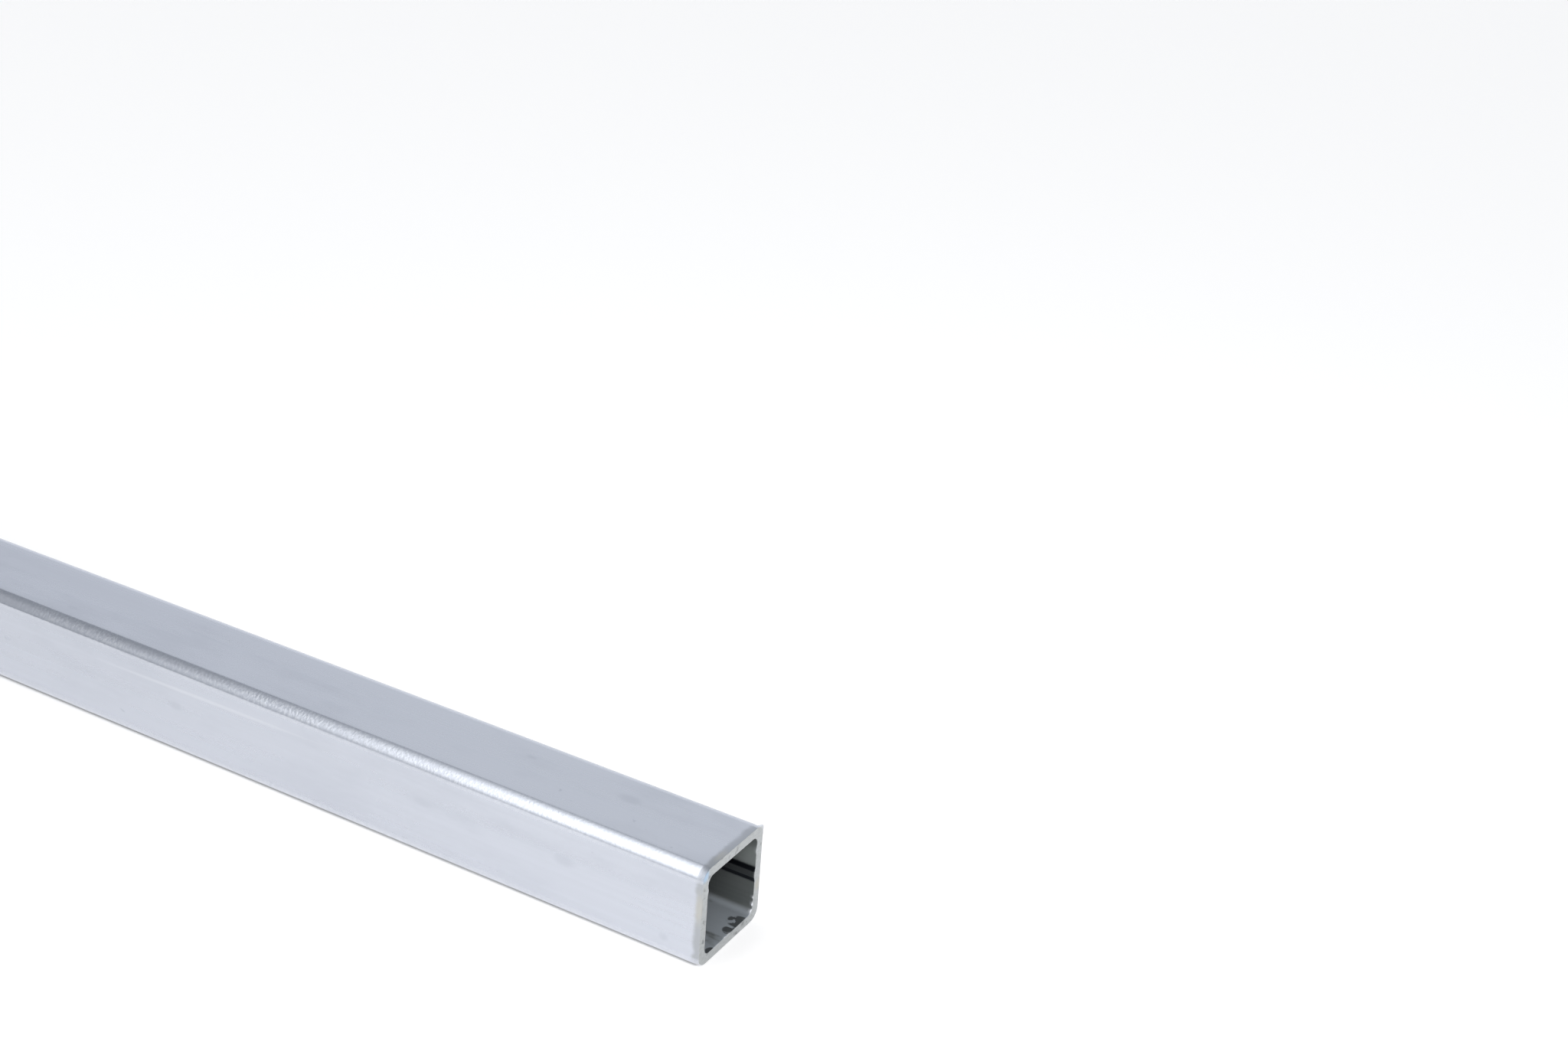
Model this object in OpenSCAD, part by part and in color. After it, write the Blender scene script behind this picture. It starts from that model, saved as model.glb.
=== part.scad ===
// Stainless steel square tube, cold formed from strip and seam welded.
// It lies on one flat along X, with its origin under its middle. Millimetres.

/* [Section] */
// Outside size across the flats
side = 20; // [16:0.5:60]
// Wall thickness
wall = 2; // [1:0.1:3]
// Outside radius of the four formed corners
corner_radius = 2.5; // [1.6:0.1:6]
// Radius that metal gathered in forming adds on the inside of the corners
corner_gather = 1; // [0.2:0.1:1.5]

/* [Length] */
// Cut length
length = 500; // [100:10:1000]

/* [Weld bead] */
// Width of the bead where it meets the inner face
bead_width = 2.6; // [1.2:0.1:4]
// Height of the bead above the inner face
bead_height = 0.35; // [0.1:0.05:0.6]
// How far the bead lies above the middle of its wall
bead_offset = 0; // [-2:0.5:2]

/* [Cut ends] */
// How far the outer edge is broken inwards from the flats
break_depth = 0.2; // [0.05:0.05:0.4]
// How far the broken edge runs back along the tube
break_length = 1.4; // [0.4:0.1:3]

/* [Hidden] */

$fn = 96;
steel = [0.74, 0.76, 0.79];

half = side / 2;
inner_half = half - wall;
// An even wall leaves the outer radius less the wall, or a sharp corner if the wall is thicker.
inner_radius = max(corner_radius - wall, 0) + corner_gather;

// The bead is the cap of a circle that stands bead_height above the inner face.
bead_circle_radius = (pow(bead_width / 2, 2) + pow(bead_height, 2)) / (2 * bead_height);
bead_centre = inner_half - bead_height + bead_circle_radius;

// The cutters reach past the steel on every free side.
clear = 1;
break_slope = break_depth / break_length;

// A square of half width h whose corners are arcs of radius r.
module rounded_square(h, r) {
    square([2 * h, 2 * (h - r)], center = true);
    square([2 * (h - r), 2 * h], center = true);
    for (x = [-1, 1], y = [-1, 1])
        translate([x * (h - r), y * (h - r)]) circle(r);
}

// The weld metal that stands proud of the inner face, rooted halfway into the wall.
module bead_profile() {
    intersection() {
        translate([bead_centre, 0]) circle(bead_circle_radius);
        translate([inner_half - bead_height, -bead_width / 2]) square([bead_height + wall / 2, bead_width]);
    }
}

// Section of the tube, with the bead on the inside of its back wall.
module tube_profile() {
    difference() {
        rounded_square(half, corner_radius);
        rounded_square(inner_half, inner_radius);
    }
    translate([0, bead_offset]) bead_profile();
}

// Outline of the steel that is taken off an edge. The flat or the arc's outside is at
// x = reach, the cut end at y = 0, and the broken face slopes between them.
module break_profile(reach) {
    polygon([
        [reach, -break_length],
        [reach + clear, -break_length],
        [reach + clear, clear],
        [reach - break_slope * (break_length + clear), clear]
    ]);
}

// Cutter that breaks the outer edge all round one end: four straight runs and four corners.
module edge_break() {
    corner_at = half - corner_radius;
    for (turn = [0:90:270]) rotate(turn) {
        translate([0, corner_at, 0]) rotate([90, 0, 0])
            linear_extrude(2 * corner_at) break_profile(half);
        translate([corner_at, corner_at, 0])
            rotate_extrude(angle = 90) break_profile(corner_radius);
    }
}

// The tube standing on end, centred on its axis.
module upright_tube() {
    difference() {
        linear_extrude(length, center = true) tube_profile();
        translate([0, 0, length / 2]) edge_break();
        mirror([0, 0, 1]) translate([0, 0, length / 2]) edge_break();
    }
}

// The tube laid along X on its lower flat, with the weld in the wall towards +Y.
module square_tube() {
    color(steel) translate([0, 0, half]) rotate([90, 0, 90]) upright_tube();
}

square_tube();
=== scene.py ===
import math

import bpy
import numpy as np
from bpy.props import FloatProperty, FloatVectorProperty, IntProperty, PointerProperty
from bpy.types import Operator, Panel, PropertyGroup
from mathutils import Matrix, Vector


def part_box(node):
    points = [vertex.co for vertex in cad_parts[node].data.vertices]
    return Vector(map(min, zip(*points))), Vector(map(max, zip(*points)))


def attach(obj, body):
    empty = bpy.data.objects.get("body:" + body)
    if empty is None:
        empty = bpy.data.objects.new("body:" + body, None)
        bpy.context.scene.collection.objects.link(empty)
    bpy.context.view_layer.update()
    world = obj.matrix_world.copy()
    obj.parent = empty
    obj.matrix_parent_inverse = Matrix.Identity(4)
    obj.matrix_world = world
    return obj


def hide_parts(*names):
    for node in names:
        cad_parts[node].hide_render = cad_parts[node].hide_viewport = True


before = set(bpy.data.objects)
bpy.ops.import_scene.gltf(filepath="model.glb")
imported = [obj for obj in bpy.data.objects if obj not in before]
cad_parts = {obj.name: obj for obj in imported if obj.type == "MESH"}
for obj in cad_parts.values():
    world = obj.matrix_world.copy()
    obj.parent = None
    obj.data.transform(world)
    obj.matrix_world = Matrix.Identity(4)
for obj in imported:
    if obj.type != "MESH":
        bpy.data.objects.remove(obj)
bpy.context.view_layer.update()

bl_info = {
    "name": "Stainless Square Tube",
    "version": (1, 0, 0),
    "blender": (4, 5, 0),
    "location": "3D View > Sidebar > Tube",
    "description": "Stainless steel square tube with its mill finish, and a studio to show it in",
    "category": "Add Mesh",
}

MM = 0.001
BOX_LOW, BOX_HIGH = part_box("square_tube")

# The four flats face these ways about X, in the order in which the outline passes them.
FLATS = {"back": 0.0, "top": math.pi / 2, "front": math.pi, "bottom": 3 * math.pi / 2}


def length_prop(name, description, value, low, high):
    """A length in metres, shown in the scene's unit."""
    return FloatProperty(
        name=name, description=description, default=value, min=low, max=high,
        precision=5, subtype="DISTANCE", unit="LENGTH",
    )


def share_prop(name, description, value):
    """A plain share from 0 to 1."""
    return FloatProperty(
        name=name, description=description, default=value,
        min=0.0, max=1.0, subtype="FACTOR",
    )


def colour_prop(name, description, value):
    """A linear colour."""
    return FloatVectorProperty(
        name=name, description=description, default=value,
        min=0.0, max=4.0, size=3, subtype="COLOR",
    )


def angle_prop(name, description, degrees):
    """An angle, given here in degrees."""
    return FloatProperty(
        name=name, description=description, default=math.radians(degrees),
        subtype="ANGLE", unit="ROTATION",
    )


def place_prop(name, description, value):
    """A place in metres."""
    return FloatVectorProperty(
        name=name, description=description, default=value,
        size=3, subtype="TRANSLATION", unit="LENGTH",
    )


def steps_prop(name, description, value, low, high):
    """A number of faces."""
    return IntProperty(name=name, description=description, default=value, min=low, max=high)


class TubeSizes(PropertyGroup):
    """The section, the length and the form of the cut ends."""

    length: length_prop("Length", "Cut length", BOX_HIGH.x - BOX_LOW.x, 0.05, 6.0)
    side: length_prop("Side", "Outside size across the flats", BOX_HIGH.z - BOX_LOW.z, 0.01, 0.2)
    wall: length_prop("Wall", "Wall thickness", 2.0 * MM, 0.5 * MM, 6 * MM)
    corner: length_prop(
        "Corner", "Outside radius of the formed corners", 2.5 * MM, 1 * MM, 9 * MM
    )
    gather: length_prop(
        "Gather", "Radius that gathered metal adds inside a corner", 1.0 * MM, 0, 3 * MM
    )
    hollow: length_prop(
        "Hollow", "How far forming sinks the middle of a flat", 0.03 * MM, 0, 1 * MM
    )
    bead_width: length_prop(
        "Bead width", "Width of the inner weld bead", 2.6 * MM, 0.5 * MM, 6 * MM
    )
    bead_height: length_prop(
        "Bead height", "Height of the inner weld bead", 0.35 * MM, 0.05 * MM, 1 * MM
    )
    bead_offset: length_prop(
        "Bead offset", "Bead above the middle of its wall", 0.0, -3 * MM, 3 * MM
    )
    break_depth: length_prop(
        "Break depth", "How far the outer edge is broken inwards", 0.2 * MM, 0, 1 * MM
    )
    break_length: length_prop(
        "Break length", "How far the broken edge runs back", 1.4 * MM, 0.1 * MM, 5 * MM
    )
    edge_round: length_prop(
        "Edge round", "Radius left on the edges of the cut", 0.1 * MM, 0.01 * MM, 0.5 * MM
    )
    burr: length_prop("Burr", "How far the low burr stands into the bore", 0.12 * MM, 0, 1 * MM)
    flat_steps: steps_prop("Flat steps", "Faces across a flat", 72, 4, 200)
    corner_steps: steps_prop("Corner steps", "Faces round a corner", 16, 2, 64)
    bay_steps: steps_prop("Bay steps", "Faces along the tube", 56, 2, 400)


class TubeFinish(PropertyGroup):
    """The colours and the surface of the steel."""

    steel: colour_prop("Steel", "Mill finish on the flats", (0.573, 0.597, 0.656))
    rubbed: colour_prop("Rubbed", "Fingered and rubbed places", (0.510, 0.534, 0.592))
    bright: colour_prop("Bright", "Fresh scratches and burrs", (0.72, 0.74, 0.78))
    ground: colour_prop("Ground", "Broken edge beside the cut", (0.37, 0.385, 0.40))
    straw: colour_prop("Straw", "Heat tint beside the cut", (0.455, 0.450, 0.412))
    blue: colour_prop("Blue", "Hotter tint on one corner of the cut", (0.40, 0.52, 0.66))
    cut: colour_prop("Cut", "Bare metal of the cut face", (0.428, 0.445, 0.450))
    oxide: colour_prop("Oxide", "Dull skin inside the bore", (0.165, 0.178, 0.175))
    soot: colour_prop("Soot", "Burnt lines beside the weld bead", (0.030, 0.033, 0.042))
    # Dust and painted reflected light on the bore's floor.
    dust_and_sheen: colour_prop("Dust", "Pale dust lying in the bore", (0.42, 0.455, 0.49))
    gloss: share_prop("Roughness", "Roughness of the flats", 0.28)
    bend_gloss: share_prop("Bend roughness", "Roughness of the formed corners", 0.18)
    cut_gloss: share_prop("Cut roughness", "Roughness of the cut face", 0.42)
    clouds: share_prop("Clouds", "Strength of the broad soft rubbing", 0.42)
    smudges: share_prop("Smudges", "Strength of the finger smudges", 0.62)
    scratch: share_prop("Scratch", "Strength of the long scratch", 0.38)
    bend_specks: share_prop("Bend specks", "Strength of the pale specks on the bends", 0.45)
    dark_patches: share_prop("Stains", "Strength of the stains in the bore", 0.85)


class StudioSetup(PropertyGroup):
    """Camera and stage."""

    camera_place: place_prop("Camera", "Where the camera stands", (0.40678, -0.27861, 0.22905))
    heading: angle_prop("Heading", "Camera's turn to the right of +Y", -28.59)
    dip: angle_prop("Dip", "How far the camera looks down", 24.748)
    tilt: angle_prop("Tilt", "Camera's turn about its own line of sight", -4.228)
    lens: FloatProperty(
        name="Lens", description="Focal length in mm on a 36 mm frame", default=50.67
    )
    floor: colour_prop("Floor", "Colour of the floor", (0.775, 0.765, 0.755))
    floor_glow: share_prop("Floor glow", "Light that the white floor gives by itself", 0.27)
    floor_reach: length_prop("Floor reach", "Half the width of the floor", 12.0, 1.0, 50.0)
    behind: colour_prop("Behind", "Room behind the tube", (0.965, 0.99, 1.03))
    behind_left: colour_prop(
        "Behind left", "Room behind the tube, to the left", (0.925, 0.95, 1.01)
    )
    gap: colour_prop("Gap", "Dim strip of ceiling above the room behind", (0.33, 0.35, 0.38))
    front: colour_prop("Front", "Ceiling and room in front, to the left", (0.55, 0.565, 0.59))
    pale: colour_prop(
        "Pale", "Room in front to the right, and towards both ends of the tube", (0.95, 0.97, 1.00)
    )
    horizon: colour_prop("Horizon", "Dim strip above the floor in front", (0.45, 0.47, 0.50))
    soft: colour_prop("Soft light", "Tall soft light, in front and overhead", (2.40, 2.42, 2.44))
    lamp_place: place_prop("Lamp", "Middle of the square lamp at the right", (0.52, -0.26, 0.32))
    lamp_side: length_prop("Lamp side", "Side of the square lamp", 0.3, 0.01, 2.0)
    lamp_power: FloatProperty(
        name="Lamp power", description="Power of the square lamp in watts", default=1.8
    )


# Steps of the wall's path: over the broken edge, round an edge of the cut and across the cut.
SLOPE_STEPS = 8
TURN_STEPS = 4
ACROSS_STEPS = 6
# Stations of the bore behind the cut's inner edge, and the least way to the next one, in
# millimetres.
NEAR_STATIONS = (0.15, 0.35, 0.7, 1.2, 2.0, 3.5)
STATION_GAP = 1.0
# The broken edge leaves the flat as this power of the way to the cut.
LEAVE_POWER = 1.3
# Power of the sine that marks the formed corners.
BEND_POWER = 0.35

# The hollow of the flats grows over the first millimetres from the cut, and part of it sways
# along the tube with two waves, each given by its turn per metre and its start.
HOLLOW_BACK = 8.0
SWAY_SHARE = 0.25
SWAY_WAVES = ((41.0, 0.7), (17.3, 2.1))

# The low burr: its waves round the bore as first, end and step, the level that cuts them off,
# and the power that narrows them. Seeds for the right and the left cut.
BURR_WAVES = (3, 40, 3)
BURR_LEVEL = 0.25
BURR_POWER = 1.5
BURR_SEEDS = (5, 11)
# How far behind the cut the burr and the spur end, and the height that shows as bare metal
# all through, in millimetres.
BURR_BACK = 0.9
SPUR_BACK = 0.8
BURR_BARE = 0.25

# Marks on the steel, in millimetres. Smudges: the flat, how far along from the tube's middle,
# how far across (height on the front flat, depth on the top one), half length, half width.
SMUDGES = (
    ("front", 84.1, 10.7, 1.0, 0.8),
    ("front", 130.0, 10.9, 2.6, 1.3),
    ("front", 190.4, 11.7, 3.6, 1.5),
    ("front", 221.7, 11.5, 3.4, 1.8),
    ("front", 242.8, 4.2, 1.4, 1.0),
    ("top", 98.2, -4.9, 3.0, 1.1),
    ("top", 204.8, 3.2, 1.9, 0.8),
    ("top", 227.1, 2.0, 3.6, 1.8),
)
# Scratch along the front flat: its middle, its half length and width, and its rise.
SCRATCH = (138.0, 14.85, 36.0, 0.55)
SCRATCH_RISE = math.radians(0.85)
# How deep a mark reaches into the steel, so that it shows on one flat only.
MARK_REACH = 0.5

# Heat tints at the cuts: place and half size as x back from the cut, y and z.
STRAW_PATCHES = (
    ((0.6, -10.0, 12.6), (1.5, 0.7, 4.6)),
    ((0.0, 9.0, 7.4), (0.5, 1.2, 1.8)),
    ((0.5, -3.4, 20.0), (0.9, 2.8, 0.6)),
)
BLUE_PATCHES = (((0.0, -9.1, 18.9), (0.8, 1.5, 1.7)),)
# Darker patches on the floor of the bore at the cut, given in the same way.
DARK_PATCHES = (
    ((0.0, 1.0, 2.0), (2.3, 1.7, 1.0)),
    ((0.0, 4.0, 2.0), (3.4, 2.4, 1.0)),
    ((0.0, -6.2, 2.0), (1.2, 1.6, 1.2)),
)
# Share of a spot's half size at which it begins to fade.
SPOT_CORE = 0.25

# Nibs of burr round the bore: angle about X from +Y, height and half width in millimetres.
NIBS = (
    (-36.0, 0.42, 0.30),
    (-45.5, 0.48, 0.34),
    (-29.0, 0.22, 0.22),
    (148.0, 0.16, 0.40),
    (-98.0, 0.14, 0.30),
)
# One spur stands out of the upper back corner of the cut.
SPUR = (44.0, 0.75, 0.8)

# Noises of the materials: cycles per metre along X, Y and Z, where each starts, its detail
# and its roughness.
NOISES = {
    "fine grain": ((14, 1300, 1300), (0.0, 0.0, 0.0), 0.0, 0.55),
    "broad grain": ((9, 420, 420), (0.3, 1.7, 0.4), 1.0, 0.60),
    "clouds": ((38, 120, 120), (2.0, 0.6, 1.1), 5.0, 0.62),
    "specks": ((460, 680, 680), (0.2, 0.9, 3.0), 2.0, 0.55),
    "speck gate": ((60, 90, 90), (5.0, 1.0, 0.0), 3.0, 0.55),
    "bend specks": ((1700, 1500, 1500), (0.0, 0.0, 0.0), 1.0, 0.50),
    "bend stretches": ((70, 200, 200), (1.0, 0.0, 2.0), 3.0, 0.55),
    "broken edge": ((0, 420, 420), (0.0, 3.0, 1.0), 2.0, 0.55),
    "dust_and_sheen": ((150, 300, 300), (0.4, 0.1, 0.2), 3.0, 0.55),
    "patch edges": ((520, 620, 620), (0.0, 0.0, 0.0), 2.0, 0.55),
    "saw lines": ((200, 900, 6000), (0.0, 0.0, 0.0), 2.0, 0.55),
    "burnt nicks": ((300, 520, 520), (3.0, 1.0, 2.0), 3.0, 0.55),
}
# The two values between which a noise, or what is made of it, goes over from none to all.
LEVELS = {
    "grain": (0.36, 0.64),
    "clouds": (0.44, 0.70),
    "specks": (0.70, 0.77),
    "speck gate": (0.50, 0.62),
    "bend specks": (0.35, 0.68),
    "bend stretches": (0.35, 0.65),
    "broken edge": (0.30, 0.70),
    "dust_and_sheen": (0.26, 0.44),
    "patch edges": (0.34, 0.60),
    "dark_patches": (0.06, 0.32),
    "saw lines": (0.35, 0.65),
    "burnt nicks": (0.56, 0.68),
}
# Share of the fine grain in the grain.
FINE_SHARE = 0.4
# Depth in millimetres that the grain and the saw's lines stand for, and the strength of each
# relief.
GRAIN_DEPTH = 0.02
KERF_DEPTH = 0.03
SPECK_BUMP = 0.3
GRAIN_BUMP = 0.035
BORE_BUMP = 0.2
KERF_BUMP = 0.5

# Darkest and lightest metal, as shares of its colour, on the flats and on the cut, and the
# shade of the burnt nicks.
STEEL_RANGE = (0.98, 1.02)
CUT_RANGE = (0.92, 1.10)
NICK_SHADE = 0.62
# How strong the bends' specks are where they are fewest and where they are most.
STRETCH_RANGE = (0.6, 1.0)
# How far back the ground edge ends, at its least and most, as shares of the broken edge, and
# the way in millimetres over which it fades there.
BREAK_RANGE = (0.80, 1.12)
BREAK_FADE = (-0.65, 0.30)
# The grinding goes from the first share to the second over this stretch of y in millimetres,
# and the bends are spared this much of it.
GROUND_OVER = (-7.0, 1.0)
GROUND_SHARES = (0.8, 0.42)
BEND_SPARED = 0.75
# How much the lines and the wear change the roughness outside.
LINE_ROUGHNESS = 0.03
WEAR_ROUGHNESS = 0.06
# Share of metal in a burr outside, and in the oxide of the bore.
BURR_METAL = 0.3
BORE_METAL = 0.6

# Shades of the bore's skin, as shares of the oxide's colour, with painted light and painted
# shade among them, and how much its lines show.
OXIDE_SHADES = {"rubbed": 1.4, "lines": 0.5, "painted_light": 1.75, "dark": 0.2, "patched": 0.3}
BORE_LINES = 0.25
# Roughness of the bore, and what dust adds to it.
BORE_ROUGHNESS = (0.38, 0.50)
DUST_ROUGHNESS = 0.2
# Ramps in the bore, in millimetres. The painted light starts above the middle of the bead and
# ends below the top, the painted shade starts behind the cut, and the dust with its painted
# reflection ends above the floor.
PAINTED_LIGHT_FROM = (0.8, 2.4)
PAINTED_LIGHT_TO = (5.4, 3.4)
DARK_FROM = (1.0, 11.0)
DUST_AND_SHEEN_TO = (0.1, 1.1)
# How much of the painted shade the skin takes below and above the bead.
DARK_SHARES = (0.32, 0.93)
# A burnt line lies at this share of the bead's width from its middle, with a fainter scorch
# between the two lines. Lines, scorch and the wall that they lie on fade over these ways.
FOOT_SHARE = 0.40
SCORCH_SHARE = 0.5
FOOT_LINE = (0.25, 0.75)
SCORCH_TO = (1.1, 1.6)
BACK_WALL = (1.5, 0.6)

# How far apart the nodes are drawn.
NODE_SPACING = 180


# Section and wall path

def outline(half, radius, flat_steps, corner_steps):
    """Closed outline of a square with rounded corners, as (n, 2) points (y, z) about its centre.

    On the flat facing angle a, a point lies half outwards and s along the flat, with
    |s| <= half - radius. The corner after it is the arc of that radius about the point
    (half - radius, half - radius). Both are turned by a, for the four flats in turn.
    """
    core = half - radius
    s = np.linspace(-core, core, flat_steps, endpoint=False)
    b = np.linspace(0, math.pi / 2, corner_steps, endpoint=False)
    out = np.concatenate([np.full(flat_steps, half), core + radius * np.cos(b)])
    along = np.concatenate([s, core + radius * np.sin(b)])
    turns = np.array(list(FLATS.values()))[:, None]
    y = out * np.cos(turns) - along * np.sin(turns)
    z = out * np.sin(turns) + along * np.cos(turns)
    return np.stack([y.ravel(), z.ravel()], axis=1)


def bend_share(flat_steps, corner_steps):
    """For each point of the outline, 1 in the middle of a formed corner and 0 on a flat.

    It is the sine of twice the angle turned in the corner, raised to a small power.
    """
    b = np.linspace(0, math.pi / 2, corner_steps, endpoint=False)
    one = np.concatenate([np.zeros(flat_steps), np.sin(2 * b) ** BEND_POWER])
    return np.tile(one, len(FLATS))


def flat_share(flat_steps, corner_steps):
    """For each point of the outline, 1 in the middle of a flat and 0 at its sides and on corners.

    It is one minus the square of the place across the flat, squared again so that it
    starts without a crease.
    """
    s = np.linspace(-1, 1, flat_steps, endpoint=False)
    one = np.concatenate([(1 - s * s) ** 2, np.zeros(corner_steps)])
    return np.tile(one, len(FLATS))


def wall_path(sizes):
    """Half of the wall's lengthwise section, from the tube's middle outside to its middle inside.

    Returns x, the distance from the tube's middle, and depth, measured inwards from the
    outer flats. Outside, depth is 0. Over the broken edge it grows with the way to the cut
    to the power LEAVE_POWER, so that it leaves the flat gently. Each edge of the cut is a
    quarter circle, and inside depth is the wall. Stations crowd towards the cut as a sine does.
    """
    end = sizes.length / 2
    r = sizes.edge_round
    lip = end - r
    start = end - sizes.break_length
    crowd = np.sin(np.linspace(0, math.pi / 2, sizes.bay_steps // 2 + 1)) * start
    slope = np.linspace(0, 1, SLOPE_STEPS + 1)[1:]
    turn = np.linspace(0, math.pi / 2, TURN_STEPS + 1)[1:]
    across = np.linspace(sizes.break_depth + r, sizes.wall - r, ACROSS_STEPS + 1)[1:]
    near = lip - np.array(NEAR_STATIONS) * MM
    far = crowd[::-1]
    inner = np.concatenate([near, far[far < near[-1] - STATION_GAP * MM]])
    x = [
        crowd,
        start + slope * (lip - start),
        lip + r * np.sin(turn),
        np.full(len(across), end),
        end - r * (1 - np.cos(turn)),
        inner,
    ]
    depth = [
        np.zeros(len(crowd)),
        sizes.break_depth * slope**LEAVE_POWER,
        sizes.break_depth + r * (1 - np.cos(turn)),
        across,
        sizes.wall - r + r * np.sin(turn),
        np.full(len(inner), sizes.wall),
    ]
    return np.concatenate(x), np.concatenate(depth)


def radius_at(depth, sizes):
    """Corner radius at a depth in the wall.

    It falls by the depth over the broken edge, and from there evenly to the inner radius,
    which is the outer one less the wall, plus what the gathered metal adds.
    """
    inner = max(sizes.corner - sizes.wall, 0) + sizes.gather
    known = (0, sizes.break_depth, sizes.wall)
    return np.interp(depth, known, (sizes.corner, sizes.corner - sizes.break_depth, inner))


def low_burr(around, seed):
    """Low burr left by the saw, as a share of its height, for each angle round the bore.

    It is a sum of sines whose phases come from the seed, cut off below a level and raised
    to a power, so that a few separate stretches stand up from a clean edge.
    """
    rng = np.random.default_rng(seed)
    waves = np.arange(*BURR_WAVES)
    phases = rng.uniform(0, 2 * math.pi, len(waves))
    weights = 1 / np.sqrt(waves)
    total = (weights * np.sin(around[:, None] * waves + phases)).sum(1)
    total /= np.abs(total).max()
    return np.clip((total - BURR_LEVEL) / (1 - BURR_LEVEL), 0, 1) ** BURR_POWER


def nubs(around, places, reach):
    """Sum of small bell curves at given angles.

    Each is its height times exp(-(way round / half width)^2), with the way round measured on
    a circle of radius reach.
    """
    total = np.zeros_like(around)
    for degrees, height, half_width in places:
        off = np.angle(np.exp(1j * (around - math.radians(degrees)))) * reach
        total += height * MM * np.exp(-((off / (half_width * MM)) ** 2))
    return total


def tube_grid(sizes):
    """The whole surface as an (m, n, 3) grid that closes both ways, with depths and burr shares.

    Row i is the outline whose half side is the tube's less depth[i] and whose corners have
    the radius of that depth, stood at x[i]. The rows run along the outside, over one cut,
    back through the bore and over the other cut, so the first row follows the last.
    """
    x_half, d_half = wall_path(sizes)
    x = np.concatenate([x_half, -x_half[::-1][1:-1]])
    depth = np.concatenate([d_half, d_half[::-1][1:-1]])
    steps = (sizes.flat_steps, sizes.corner_steps)
    half = sizes.side / 2
    rows = np.stack([outline(half - d, radius_at(d, sizes), *steps) for d in depth])
    angles = np.array(list(FLATS.values()))
    facing = np.repeat(np.stack([np.cos(angles), np.sin(angles)], 1), sum(steps), axis=0)
    around = np.arctan2(rows[0, :, 1], rows[0, :, 0])
    inside = np.clip((depth - (sizes.wall - sizes.edge_round)) / sizes.edge_round, 0, 1)
    from_cut = sizes.length / 2 - np.abs(x)

    # The bead: the cap of a circle that stands bead_height above the inner back flat.
    cap = (sizes.bead_width**2 / 4 + sizes.bead_height**2) / (2 * sizes.bead_height)
    place = rows[:, :, 1] - sizes.bead_offset
    rise = np.sqrt(np.clip(cap**2 - place**2, 0, None)) - (cap - sizes.bead_height)
    on_back = np.arange(rows.shape[1]) < sizes.flat_steps
    bead = np.clip(rise, 0, None) * on_back * inside[:, None]

    # Forming leaves each flat a little hollow, less so here and there along the tube.
    (turn_a, start_a), (turn_b, start_b) = SWAY_WAVES
    waves = np.sin(x * turn_a + start_a) * np.sin(x * turn_b + start_b)
    sway = (1 - SWAY_SHARE) + SWAY_SHARE * waves
    fade = np.clip(from_cut / (HOLLOW_BACK * MM), 0, 1)
    outside = depth < sizes.break_depth / 2
    sink = sizes.hollow * (sway * fade * outside)[:, None] * flat_share(*steps)

    # The burr stands into the bore at each cut and dies away behind it.
    right, left = (low_burr(around, seed) for seed in BURR_SEEDS)
    low = np.where(x[:, None] > 0, right, left) * sizes.burr
    tall = nubs(around, NIBS, half - sizes.wall)
    back = np.clip(1 - from_cut / (BURR_BACK * MM), 0, 1) ** 2
    burr = (low + tall) * (back * inside)[:, None]

    # The spur stands out of its corner, where the rounding leaves room for it.
    near_edge = depth < sizes.break_depth + sizes.edge_round
    out_share = np.clip(1 - from_cut / (SPUR_BACK * MM), 0, 1) * near_edge
    spur = nubs(around, (SPUR,), half) * out_share[:, None]
    outwards = rows / np.linalg.norm(rows, axis=2, keepdims=True)

    inwards = facing[None] * (bead + sink + burr)[:, :, None]
    rows = rows - inwards + outwards * spur[:, :, None]
    # Nothing stands past the outer flats.
    rows = np.clip(rows, -half, half)
    grid = np.empty(rows.shape[:2] + (3,))
    grid[:, :, 0] = x[:, None]
    grid[:, :, 1] = rows[:, :, 0]
    grid[:, :, 2] = rows[:, :, 1] + half
    return grid, depth, np.clip((burr + spur) / (BURR_BARE * MM), 0, 1)


def closed_mesh(name, grid):
    """A mesh of the grid's quads, closed both ways.

    Each quad faces along the cross product of the step to the next point and the step to the
    next row, which is outwards.
    """
    m, n = grid.shape[:2]
    i, j = np.meshgrid(np.arange(m), np.arange(n), indexing="ij")
    i2, j2 = (i + 1) % m, (j + 1) % n
    quads = np.stack([i * n + j, i * n + j2, i2 * n + j2, i2 * n + j], axis=-1).reshape(-1, 4)
    mesh = bpy.data.meshes.new(name)
    mesh.from_pydata(grid.reshape(-1, 3), [], quads)
    mesh.validate()
    mesh.polygons.foreach_set("use_smooth", np.ones(len(quads), bool))
    return mesh


def mark_mesh(mesh, name, values):
    """Keeps one number per point on the mesh, for its materials to read."""
    layer = mesh.attributes.new(name, "FLOAT", "POINT")
    layer.data.foreach_set("value", np.ascontiguousarray(values, np.float32).ravel())


def tube_mesh(sizes):
    """The tube's mesh, with its three finishes on their faces and its bends and burrs marked."""
    grid, depth, burr = tube_grid(sizes)
    mesh = closed_mesh("square_tube_steel", grid)
    m, n = grid.shape[:2]
    both = (depth + np.roll(depth, -1)) / 2
    x = grid[:, 0, 0]
    x_both = np.abs(x + np.roll(x, -1)) / 2
    at_cut = x_both > (sizes.length - sizes.edge_round) / 2
    cut = at_cut & (both > sizes.break_depth)
    bore = both > sizes.wall - sizes.edge_round / 4
    slot = np.where(bore, 1, np.where(cut, 2, 0))
    mesh.polygons.foreach_set("material_index", np.repeat(slot, n).astype(np.int32))
    bend = bend_share(sizes.flat_steps, sizes.corner_steps)
    mark_mesh(mesh, "bend", np.tile(bend, (m, 1)))
    mark_mesh(mesh, "burr", burr)
    mesh.update()
    return mesh


# Shader building

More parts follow.
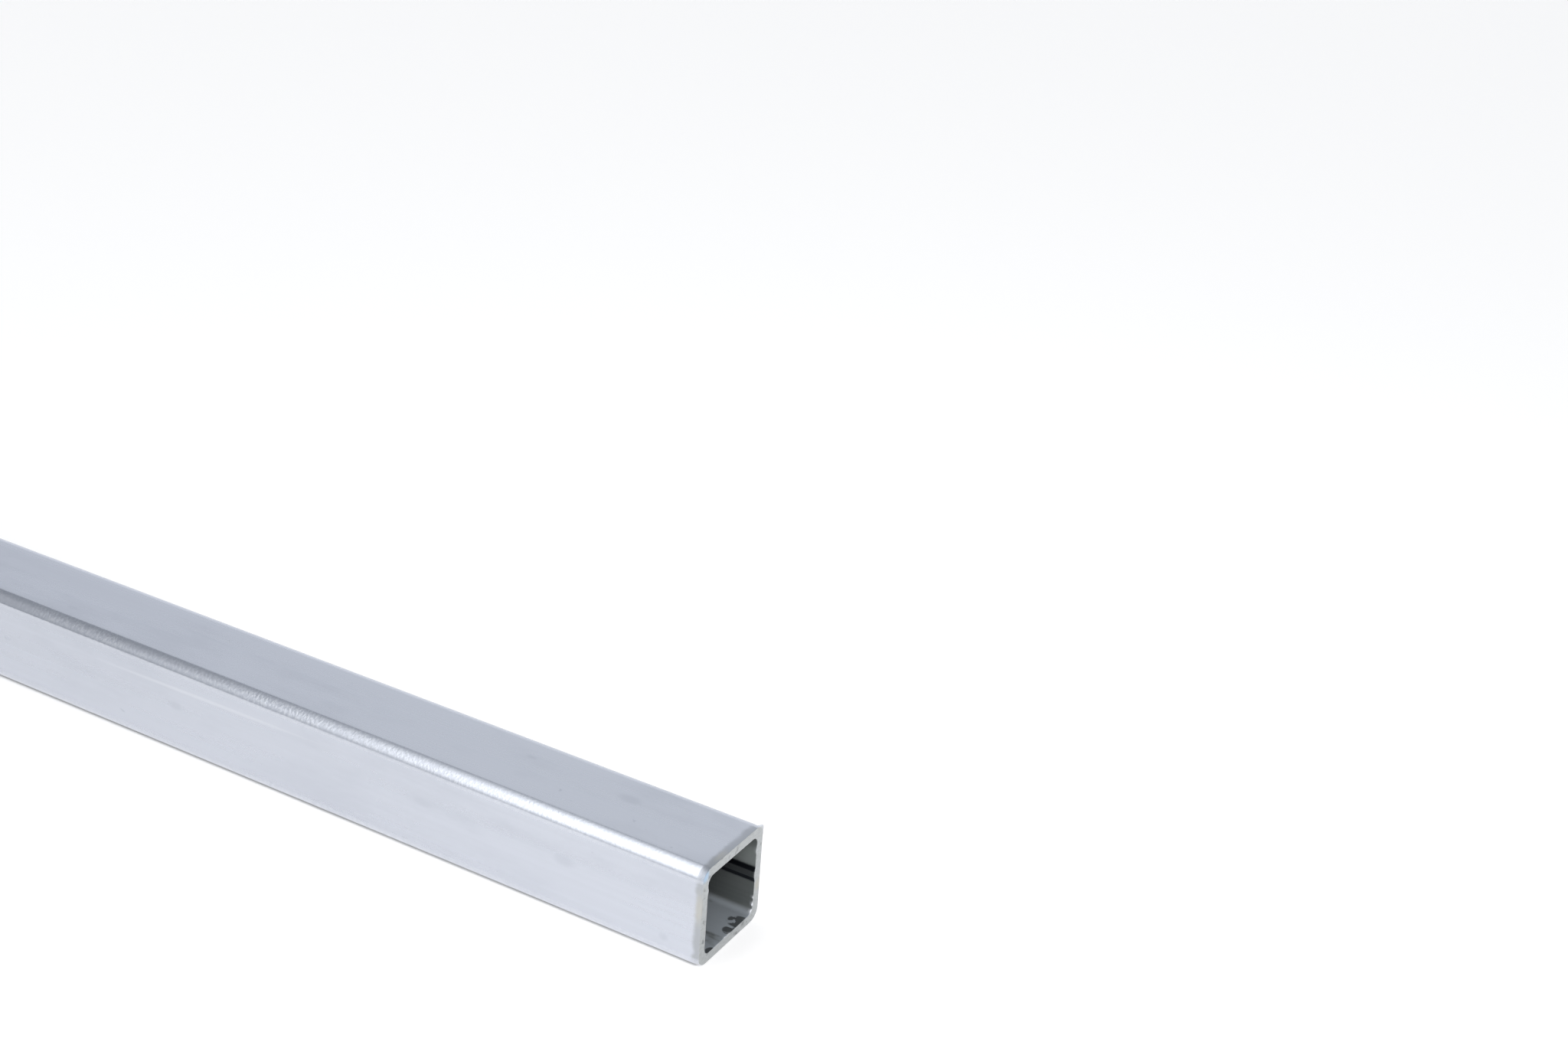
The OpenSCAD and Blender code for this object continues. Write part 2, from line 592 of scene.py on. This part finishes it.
class Nodes:
    """Adds nodes to one tree and joins them, so that a material reads as a list of steps."""

    def __init__(self, tree):
        self.tree = tree
        self.column = 0

    def add(self, kind, values=None, **settings):
        """A node with its settings made and its inputs set or joined, by name or number."""
        node = self.tree.nodes.new(kind)
        node.location = (self.column * NODE_SPACING, 0)
        self.column += 1
        for key, value in settings.items():
            setattr(node, key, value)
        for key, value in (values or {}).items():
            socket = node.inputs[key]
            if isinstance(value, bpy.types.NodeSocket):
                self.tree.links.new(value, socket)
            else:
                socket.default_value = value
        return node

    def join(self, value, socket):
        """Joins an output to an input."""
        self.tree.links.new(value, socket)

    def maths(self, operation, a, b=0.0, clamp=False):
        """One step of arithmetic."""
        node = self.add("ShaderNodeMath", {0: a, 1: b}, operation=operation, use_clamp=clamp)
        return node.outputs[0]

    def times(self, a, b):
        """a multiplied by b."""
        return self.maths("MULTIPLY", a, b)

    def span(self, value, low, high, to_low=0.0, to_high=1.0, smooth=True):
        """value carried from low..high to to_low..to_high and held there beyond."""
        values = {
            "Value": value,
            "From Min": low,
            "From Max": high,
            "To Min": to_low,
            "To Max": to_high,
        }
        kind = "SMOOTHSTEP" if smooth else "LINEAR"
        node = self.add("ShaderNodeMapRange", values, interpolation_type=kind, clamp=True)
        return node.outputs[0]

    def between(self, share, low, high):
        """The number that lies between low and high as share lies between 0 and 1."""
        return self.span(share, 0, 1, low, high, smooth=False)

    def blend(self, share, a, b):
        """Colour a going over to colour b as share goes from 0 to 1.

        Plain colours have three parts.
        """
        a, b = (c if isinstance(c, bpy.types.NodeSocket) else (*c, 1) for c in (a, b))
        return self.add("ShaderNodeMix", {0: share, 6: a, 7: b}, data_type="RGBA").outputs[2]

    def place(self):
        """Object coordinates."""
        return self.add("ShaderNodeTexCoord").outputs["Object"]

    def parts(self, vector):
        """The x, y and z of a vector."""
        return list(self.add("ShaderNodeSeparateXYZ", {0: vector}).outputs)

    def noise(self, name):
        """One of NOISES over Object coordinates, from 0 to 1."""
        cycles, start, detail, rough = NOISES[name]
        values = {"Vector": self.place(), "Location": start, "Scale": cycles}
        drawn_out = self.add("ShaderNodeMapping", values).outputs[0]
        values = {"Vector": drawn_out, "Scale": 1.0, "Detail": detail, "Roughness": rough}
        return self.add("ShaderNodeTexNoise", values).outputs[0]

    def pattern(self, name, low=0.0, high=1.0):
        """One of NOISES, carried from its pair in LEVELS to low..high."""
        return self.span(self.noise(name), *LEVELS[name], low, high)

    def attribute(self, name):
        """A number kept on the mesh."""
        return self.add("ShaderNodeAttribute", attribute_name=name).outputs["Fac"]

    def bump(self, height, strength, distance, normal=None):
        """A normal tipped by a height."""
        values = {"Strength": strength, "Distance": distance, "Height": height}
        if normal is not None:
            values["Normal"] = normal
        return self.add("ShaderNodeBump", values).outputs[0]

    def use(self, tree, values=None):
        """The outputs of one use of a group, with its inputs set or joined by name."""
        return self.add("ShaderNodeGroup", values, node_tree=tree).outputs


def scaled(colour, factor):
    """A colour made lighter or darker."""
    return tuple(part * factor for part in colour)


def opaque(colour):
    """A colour with full alpha, for a group's input."""
    return (*colour, 1)


def new_group(name, inputs, outputs):
    """An empty shader node group, with its sockets, and its Nodes, inputs and output node."""
    tree = bpy.data.node_groups.new(name, "ShaderNodeTree")
    for label, kind in inputs:
        tree.interface.new_socket(name=label, in_out="INPUT", socket_type=kind)
    for label, kind in outputs:
        tree.interface.new_socket(name=label, in_out="OUTPUT", socket_type=kind)
    nodes = Nodes(tree)
    given = nodes.add("NodeGroupInput").outputs
    result = nodes.add("NodeGroupOutput").inputs
    return tree, nodes, given, result


def new_material(name):
    """A node material with its Nodes and its Principled shader."""
    material = bpy.data.materials.new(name)
    material.use_nodes = True
    return material, Nodes(material.node_tree), material.node_tree.nodes["Principled BSDF"]


def spot(nodes, where, place, size, turn=(0.0, 0.0, 0.0)):
    """Mask of one soft spot, with its place and half size in millimetres.

    The point is carried into the frame of an ellipsoid at that place, turned by turn. The
    mask goes from 1 to 0 as its distance from the middle there goes from SPOT_CORE to 1.
    """
    values = {
        "Vector": where,
        "Location": [value * MM for value in place],
        "Rotation": turn,
        "Scale": [value * MM for value in size],
    }
    own = nodes.add("ShaderNodeMapping", values, vector_type="TEXTURE").outputs[0]
    away = nodes.add("ShaderNodeVectorMath", {0: own}, operation="LENGTH").outputs["Value"]
    return nodes.span(away, SPOT_CORE, 1.0, 1.0, 0.0)


def strongest(nodes, masks):
    """The largest of several masks."""
    total = masks[0]
    for mask in masks[1:]:
        total = nodes.maths("MAXIMUM", total, mask)
    return total


def spots(nodes, where, patches):
    """Mask of several spots, each given by its place and half size."""
    return strongest(nodes, [spot(nodes, where, *patch) for patch in patches])


def from_cuts(nodes, length):
    """Object coordinates with x measured back from the nearer cut, for marks that both ends have.

    The way back is half the length less the size of x.
    """
    x, y, z = nodes.parts(nodes.place())
    back = nodes.maths("SUBTRACT", nodes.times(length, 0.5), nodes.maths("ABSOLUTE", x))
    return nodes.add("ShaderNodeCombineXYZ", {0: back, 1: y, 2: z}).outputs[0]


def drawn_grain():
    """Lines from drawing and brushing: a fine and a broad noise, drawn out along the tube."""
    tree, nodes, _, result = new_group("Drawn grain", [], [("Lines", "NodeSocketFloat")])
    fine = nodes.times(nodes.noise("fine grain"), FINE_SHARE)
    broad = nodes.times(nodes.noise("broad grain"), 1 - FINE_SHARE)
    lines = nodes.span(nodes.maths("ADD", fine, broad), *LEVELS["grain"], smooth=False)
    nodes.join(lines, result["Lines"])
    return tree


def handling():
    """Where the steel has been rubbed and fingered: broad soft clouds and a few small specks."""
    outputs = [("Clouds", "NodeSocketFloat"), ("Specks", "NodeSocketFloat")]
    tree, nodes, _, result = new_group("Handling", [], outputs)
    nodes.join(nodes.pattern("clouds"), result["Clouds"])
    specks = nodes.times(nodes.pattern("specks"), nodes.pattern("speck gate"))
    nodes.join(specks, result["Specks"])
    return tree


def heat_tints():
    """A colour with the straw and blue heat tints of both cuts laid over it."""
    inputs = [("Length", "NodeSocketFloat")]
    inputs += [(label, "NodeSocketColor") for label in ("Color", "Straw", "Blue")]
    tree, nodes, given, result = new_group("Heat tints", inputs, [("Color", "NodeSocketColor")])
    where = from_cuts(nodes, given["Length"])
    straw = nodes.blend(spots(nodes, where, STRAW_PATCHES), given["Color"], given["Straw"])
    blue = nodes.blend(spots(nodes, where, BLUE_PATCHES), straw, given["Blue"])
    nodes.join(blue, result["Color"])
    return tree


def bare_burr():
    """A colour with the burr's bare metal laid over it, and where the burr is."""
    inputs = [(label, "NodeSocketColor") for label in ("Color", "Bare")]
    outputs = [("Color", "NodeSocketColor"), ("Burr", "NodeSocketFloat")]
    tree, nodes, given, result = new_group("Bare burr", inputs, outputs)
    burr = nodes.attribute("burr")
    nodes.join(nodes.blend(burr, given["Color"], given["Bare"]), result["Color"])
    nodes.join(burr, result["Burr"])
    return tree


def smudges(nodes, side):
    """Mask of the smudges on the front and top flats."""
    where = nodes.place()
    masks = []
    for flat, along, across, half_length, half_width in SMUDGES:
        if flat == "front":
            place = (along, -side / 2 / MM, across)
            size = (half_length, MARK_REACH, half_width)
        else:
            place = (along, across, side / MM)
            size = (half_length, half_width, MARK_REACH)
        masks.append(spot(nodes, where, place, size))
    return strongest(nodes, masks)


def scratch(nodes, side):
    """Mask of the long light scratch on the front flat."""
    along, height, half_length, half_width = SCRATCH
    place = (along, -side / 2 / MM, height)
    size = (half_length, MARK_REACH, half_width)
    return spot(nodes, nodes.place(), place, size, (0.0, -SCRATCH_RISE, 0.0))


def mill_finish(sizes, finish, groups):
    """Outside of the tube: bright drawn steel, specked on its bends, ground and tinted at cuts."""
    material, nodes, shader = new_material("Mill finish steel")
    bend = nodes.attribute("bend")
    lines = nodes.use(groups["grain"])["Lines"]
    wear = nodes.use(groups["wear"])

    # Drawing leaves lighter and darker lines, and hands leave duller places.
    steel = nodes.blend(lines, *(scaled(finish.steel, factor) for factor in STEEL_RANGE))
    soiled = strongest(nodes, [
        nodes.times(wear["Clouds"], finish.clouds),
        nodes.times(smudges(nodes, sizes.side), finish.smudges),
        wear["Specks"],
    ])
    base = nodes.blend(soiled, steel, finish.rubbed)
    scratched = nodes.times(scratch(nodes, sizes.side), finish.scratch)
    base = nodes.blend(scratched, base, finish.bright)

    # Forming leaves small pale specks on the bends, more in some stretches than in others.
    specked = nodes.times(nodes.pattern("bend specks"), bend)
    stretches = nodes.span(nodes.pattern("bend stretches"), 0, 1, *STRETCH_RANGE)
    specked = nodes.times(specked, stretches)
    base = nodes.blend(nodes.times(specked, finish.bend_specks), base, finish.bright)

    # The broken edge is ground duller and greyer, most towards the front, with heat tints on it.
    back, y = nodes.parts(from_cuts(nodes, sizes.length))[:2]
    edge = nodes.pattern("broken edge", *(sizes.break_length * share for share in BREAK_RANGE))
    past_edge = nodes.maths("SUBTRACT", back, edge)
    on_break = nodes.span(past_edge, *(way * MM for way in BREAK_FADE), 1.0, 0.0)
    tints = {"Straw": opaque(finish.straw), "Blue": opaque(finish.blue), "Length": sizes.length}
    ground = nodes.use(groups["tints"], {"Color": opaque(finish.ground), **tints})["Color"]
    flat_only = nodes.maths("SUBTRACT", 1.0, nodes.times(bend, BEND_SPARED))
    across = nodes.span(y, *(place * MM for place in GROUND_OVER), *GROUND_SHARES)
    worn = nodes.times(flat_only, across)
    joined = nodes.blend(nodes.times(on_break, worn), base, ground)
    bare = nodes.use(groups["burr"], {"Color": joined, "Bare": opaque(finish.bright)})
    nodes.join(bare["Color"], shader.inputs["Base Color"])

    nodes.join(nodes.between(bare["Burr"], 1.0, BURR_METAL), shader.inputs["Metallic"])
    rough = nodes.between(bend, finish.gloss, finish.bend_gloss)
    uneven = nodes.between(lines, -LINE_ROUGHNESS, LINE_ROUGHNESS)
    rough = nodes.maths("ADD", rough, uneven)
    for duller in (soiled, on_break):
        rough = nodes.maths("ADD", rough, nodes.times(duller, WEAR_ROUGHNESS), clamp=True)
    nodes.join(rough, shader.inputs["Roughness"])
    pebbled = nodes.bump(specked, SPECK_BUMP, GRAIN_DEPTH * MM)
    lined = nodes.bump(lines, GRAIN_BUMP, GRAIN_DEPTH * MM, pebbled)
    nodes.join(lined, shader.inputs["Normal"])
    return material


def bore_skin(sizes, finish, groups):
    """Inside of the tube: dull oxide, burnt beside the weld bead, with pale dust and a painted
    reflection on its floor, painted light near the cut and painted shade further in.
    """
    material, nodes, shader = new_material("Bore oxide")
    where = from_cuts(nodes, sizes.length)
    back, y, z = nodes.parts(where)
    lines = nodes.use(groups["grain"])["Lines"]
    clouds = nodes.use(groups["wear"])["Clouds"]
    shades = {name: scaled(finish.oxide, factor) for name, factor in OXIDE_SHADES.items()}
    skin = nodes.blend(clouds, finish.oxide, shades["rubbed"])
    skin = nodes.blend(nodes.times(lines, BORE_LINES), skin, shades["lines"])

    # Painted light: near the cut the skin above the bead is painted lighter, up to the bend.
    # Painted shade: further in, all is painted darker.
    middle = sizes.side / 2 + sizes.bead_offset
    upper = nodes.span(z, *(middle + rise * MM for rise in PAINTED_LIGHT_FROM))
    below_bend = nodes.span(z, *(sizes.side - drop * MM for drop in PAINTED_LIGHT_TO), 1.0, 0.0)
    skin = nodes.blend(nodes.times(upper, below_bend), skin, shades["painted_light"])
    # Painted shade deeper in the bore, weaker on its floor.
    painted_shade_inside = nodes.times(
        nodes.span(back, *(way * MM for way in DARK_FROM)),
        nodes.between(upper, *DARK_SHARES),
    )
    skin = nodes.blend(painted_shade_inside, skin, shades["dark"])

    # The floor of the bore carries pale dust together with a painted reflection of outside light,
    # and a few darker patches at the cut.
    floor = nodes.span(z, *(sizes.wall + rise * MM for rise in DUST_AND_SHEEN_TO), 1.0, 0.0)
    dust_and_sheen_mask = nodes.times(floor, nodes.pattern("dust_and_sheen"))
    skin = nodes.blend(dust_and_sheen_mask, skin, finish.dust_and_sheen)
    patched = nodes.times(spots(nodes, where, DARK_PATCHES), nodes.pattern("patch edges"))
    patched = nodes.times(nodes.span(patched, *LEVELS["dark_patches"]), finish.dark_patches)
    skin = nodes.blend(patched, skin, shades["patched"])

    # The bead is scorched, with a burnt line along each foot, on the back wall only.
    beside = nodes.maths("ABSOLUTE", nodes.maths("SUBTRACT", z, middle))
    foot_at = sizes.bead_width * FOOT_SHARE
    foot = nodes.maths("ABSOLUTE", nodes.maths("SUBTRACT", beside, foot_at))
    line = nodes.span(foot, *(way * MM for way in FOOT_LINE), 1.0, 0.0)
    scorch = nodes.span(beside, *(way * MM for way in SCORCH_TO), SCORCH_SHARE, 0.0)
    on_back = nodes.span(y, *(sizes.side / 2 - sizes.wall - way * MM for way in BACK_WALL))
    burnt = nodes.times(nodes.maths("MAXIMUM", line, scorch), on_back)
    skin = nodes.blend(burnt, skin, finish.soot)
    bare = nodes.use(groups["burr"], {"Color": skin, "Bare": opaque(finish.bright)})
    nodes.join(bare["Color"], shader.inputs["Base Color"])

    # Oxide shines partly as metal and soot wholly, so that it stays dark. A burr scatters the
    # light, so that it shows pale from every side.
    metal = nodes.between(burnt, BORE_METAL, 1.0)
    less = nodes.times(bare["Burr"], BORE_METAL)
    nodes.join(nodes.maths("SUBTRACT", metal, less, clamp=True), shader.inputs["Metallic"])
    rough = nodes.between(lines, *BORE_ROUGHNESS)
    rough = nodes.maths("ADD", rough, nodes.times(dust_and_sheen_mask, DUST_ROUGHNESS))
    nodes.join(rough, shader.inputs["Roughness"])
    nodes.join(nodes.bump(lines, BORE_BUMP, GRAIN_DEPTH * MM), shader.inputs["Normal"])
    return material


def sawn_face(sizes, finish, groups):
    """The cut: bare metal with the saw's close parallel lines, a few burnt nicks and heat tints."""
    material, nodes, shader = new_material("Sawn steel")
    kerf = nodes.noise("saw lines")
    lined = nodes.span(kerf, *LEVELS["saw lines"])
    face = nodes.blend(lined, *(scaled(finish.cut, factor) for factor in CUT_RANGE))
    face = nodes.blend(nodes.pattern("burnt nicks"), face, scaled(finish.cut, NICK_SHADE))
    tints = {"Straw": opaque(finish.straw), "Blue": opaque(finish.blue), "Length": sizes.length}
    face = nodes.use(groups["tints"], {"Color": face, **tints})["Color"]
    bare = nodes.use(groups["burr"], {"Color": face, "Bare": opaque(finish.bright)})
    nodes.join(bare["Color"], shader.inputs["Base Color"])
    shader.inputs["Metallic"].default_value = 1.0
    shader.inputs["Roughness"].default_value = finish.cut_gloss
    nodes.join(nodes.bump(kerf, KERF_BUMP, KERF_DEPTH * MM), shader.inputs["Normal"])
    return material


class TUBE_OT_square_tube(Operator):
    """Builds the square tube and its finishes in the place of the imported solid"""

    bl_idname = "tube.square_tube"
    bl_label = "Square Tube"

    def execute(self, context):
        sizes = context.scene.tube_sizes
        finish = context.scene.tube_finish
        groups = {
            "grain": drawn_grain(),
            "wear": handling(),
            "tints": heat_tints(),
            "burr": bare_burr(),
        }
        mesh = tube_mesh(sizes)
        for make in (mill_finish, bore_skin, sawn_face):
            mesh.materials.append(make(sizes, finish, groups))
        piece = bpy.data.objects.new("square_tube_steel", mesh)
        context.scene.collection.objects.link(piece)
        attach(piece, "root")
        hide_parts("square_tube")
        return {"FINISHED"}


# Studio

# The room's light changes with the angle about X, in degrees from the horizon behind the tube
# over the zenith to the horizon in front at 180, and with the x part of the direction. Each
# pair is where a ramp starts and where it ends.
GAP_FROM = (39.0, 47.0)
FRONT_FROM = (60.0, 140.0)
HORIZON_FROM = (158.0, 178.0)
SOFT_FROM = (42.0, 112.0)
SOFT_TO = (140.0, 192.0)
SOFT_LEFT = (-0.64, -0.42)
SOFT_RIGHT = (-0.36, -0.12)
PALE_FROM = (-0.40, -0.15)
BEHIND_LEFT = (-0.72, -0.48)
# Towards either end of the tube the room goes over to plain pale.
ENDS_FROM = (0.80, 0.92)

# How far inside the tube's outline the floor's glow fades out, in millimetres: a painted contact
# shadow under the tube.
CONTACT_SHADOW_FADE = (1.5, 0.6)
FLOOR_ROUGHNESS = 0.9
FLOOR_SHINE = 0.1
# Width of the camera's frame in millimetres, and the nearest and farthest that it sees.
FRAME_WIDTH = 36.0
CLIP = (0.01, 100.0)


def studio_air(setup):
    """The room's light: pale behind, a dim gap, then a tall soft light in front and overhead.

    Each step is a ramp over the angle about X. The soft light also grows from the left, as
    the x part of the direction goes through SOFT_LEFT, so the tube's upper bend runs from
    dim at the left to white at the cut. Right of it the room in front is pale again, and so
    is the room towards both ends of the tube.
    """
    world = bpy.data.worlds.new("Studio air")
    world.use_nodes = True
    nodes = Nodes(world.node_tree)
    direction = nodes.add("ShaderNodeTexCoord").outputs["Generated"]
    x, y, z = nodes.parts(direction)
    turn = nodes.maths("ARCTAN2", z, y)
    gap, front, horizon, away = (
        nodes.span(turn, math.radians(low), math.radians(high))
        for low, high in (GAP_FROM, FRONT_FROM, HORIZON_FROM, SOFT_TO)
    )
    onset = nodes.span(turn, *(math.radians(degrees) for degrees in SOFT_FROM), smooth=False)
    behind = nodes.blend(nodes.span(x, *BEHIND_LEFT), setup.behind_left, setup.behind)
    ahead = nodes.blend(horizon, setup.front, setup.horizon)
    ahead = nodes.blend(nodes.span(x, *PALE_FROM), ahead, setup.pale)
    room = nodes.blend(front, nodes.blend(gap, behind, setup.gap), ahead)
    across = nodes.times(nodes.span(x, *SOFT_LEFT), nodes.span(x, *SOFT_RIGHT, 1.0, 0.0))
    lit = nodes.times(nodes.times(onset, nodes.maths("SUBTRACT", 1.0, away)), across)
    room = nodes.blend(lit, room, setup.soft)
    ends = nodes.span(nodes.maths("ABSOLUTE", x), *ENDS_FROM)
    background = world.node_tree.nodes["Background"]
    nodes.join(nodes.blend(ends, room, setup.pale), background.inputs["Color"])
    background.inputs["Strength"].default_value = 1.0
    bpy.context.scene.world = world


def side_lamp(setup):
    """A square lamp in front at the right, turned to the tube's middle.

    It lights the floor before the tube's end, and the steel mirrors that floor but not the
    lamp itself.
    """
    data = bpy.data.lights.new("side lamp", "AREA")
    data.size = setup.lamp_side
    data.energy = setup.lamp_power
    lamp = bpy.data.objects.new("side lamp", data)
    place = Vector(setup.lamp_place)
    aim = place.to_track_quat("Z", "Y").to_matrix().to_4x4()
    lamp.matrix_world = Matrix.Translation(place) @ aim
    lamp.visible_glossy = False
    bpy.context.scene.collection.objects.link(lamp)


def pale_floor(setup):
    """A wide level floor under the tube.

    It glows a little, apart from a painted contact shadow inside the tube's outline, so the tube's
    lower edge stays dark.
    """
    r = setup.floor_reach
    mesh = bpy.data.meshes.new("floor")
    mesh.from_pydata([(-r, -r, 0), (r, -r, 0), (r, r, 0), (-r, r, 0)], [], [(0, 1, 2, 3)])
    material, nodes, shader = new_material("Pale floor")
    shader.inputs["Base Color"].default_value = (*setup.floor, 1)
    shader.inputs["Roughness"].default_value = FLOOR_ROUGHNESS
    shader.inputs["Specular IOR Level"].default_value = FLOOR_SHINE
    x, y = nodes.parts(nodes.place())[:2]
    # Painted contact shadow: the glow is taken away inside the tube's outline.
    painted_contact_shadow = nodes.times(*(
        nodes.span(
            nodes.maths("ABSOLUTE", value), *(edge - fade * MM for fade in CONTACT_SHADOW_FADE), 1.0, 0.0
        )
        for value, edge in ((x, BOX_HIGH.x), (y, BOX_HIGH.y))
    ))
    nodes.join(nodes.blend(painted_contact_shadow, (1, 1, 1), (0, 0, 0)), shader.inputs["Emission Color"])
    shader.inputs["Emission Strength"].default_value = setup.floor_glow
    mesh.materials.append(material)
    floor = bpy.data.objects.new("floor", mesh)
    bpy.context.scene.collection.objects.link(floor)


def photo_camera(setup):
    """The camera, turned to its heading, dipped, and tilted about its line of sight."""
    data = bpy.data.cameras.new("photo camera")
    data.sensor_width = FRAME_WIDTH
    data.lens = setup.lens
    data.clip_start, data.clip_end = CLIP
    camera = bpy.data.objects.new("photo camera", data)
    camera.matrix_world = (
        Matrix.Translation(Vector(setup.camera_place))
        @ Matrix.Rotation(-setup.heading, 4, "Z")
        @ Matrix.Rotation(math.pi / 2 - setup.dip, 4, "X")
        @ Matrix.Rotation(-setup.tilt, 4, "Z")
    )
    bpy.context.scene.collection.objects.link(camera)
    bpy.context.scene.camera = camera


class TUBE_OT_studio(Operator):
    """Sets the floor, the soft light and the camera round the tube"""

    bl_idname = "tube.studio"
    bl_label = "Studio"

    def execute(self, context):
        setup = context.scene.tube_studio
        pale_floor(setup)
        studio_air(setup)
        side_lamp(setup)
        photo_camera(setup)
        context.scene.view_settings.view_transform = "Standard"
        return {"FINISHED"}


class TUBE_PT_panel(Panel):
    """Sizes, finish and studio in the 3D view's sidebar"""

    bl_label = "Square Tube"
    bl_space_type = "VIEW_3D"
    bl_region_type = "UI"
    bl_category = "Tube"

    def draw(self, context):
        layout = self.layout
        scene = context.scene
        for group in (scene.tube_sizes, scene.tube_finish, scene.tube_studio):
            box = layout.box()
            for name in group.__annotations__:
                box.prop(group, name)
        layout.operator(TUBE_OT_square_tube.bl_idname)
        layout.operator(TUBE_OT_studio.bl_idname)


CLASSES = (
    TubeSizes,
    TubeFinish,
    StudioSetup,
    TUBE_OT_square_tube,
    TUBE_OT_studio,
    TUBE_PT_panel,
)


def register():
    """Adds the classes to Blender and their settings to the scene."""
    for cls in CLASSES:
        bpy.utils.register_class(cls)
    bpy.types.Scene.tube_sizes = PointerProperty(type=TubeSizes)
    bpy.types.Scene.tube_finish = PointerProperty(type=TubeFinish)
    bpy.types.Scene.tube_studio = PointerProperty(type=StudioSetup)


def unregister():
    """Takes the settings and the classes away again."""
    del bpy.types.Scene.tube_studio
    del bpy.types.Scene.tube_finish
    del bpy.types.Scene.tube_sizes
    for cls in reversed(CLASSES):
        bpy.utils.unregister_class(cls)


def main():
    register()
    bpy.ops.tube.square_tube()
    bpy.ops.tube.studio()


if __name__ == "__main__":
    main()
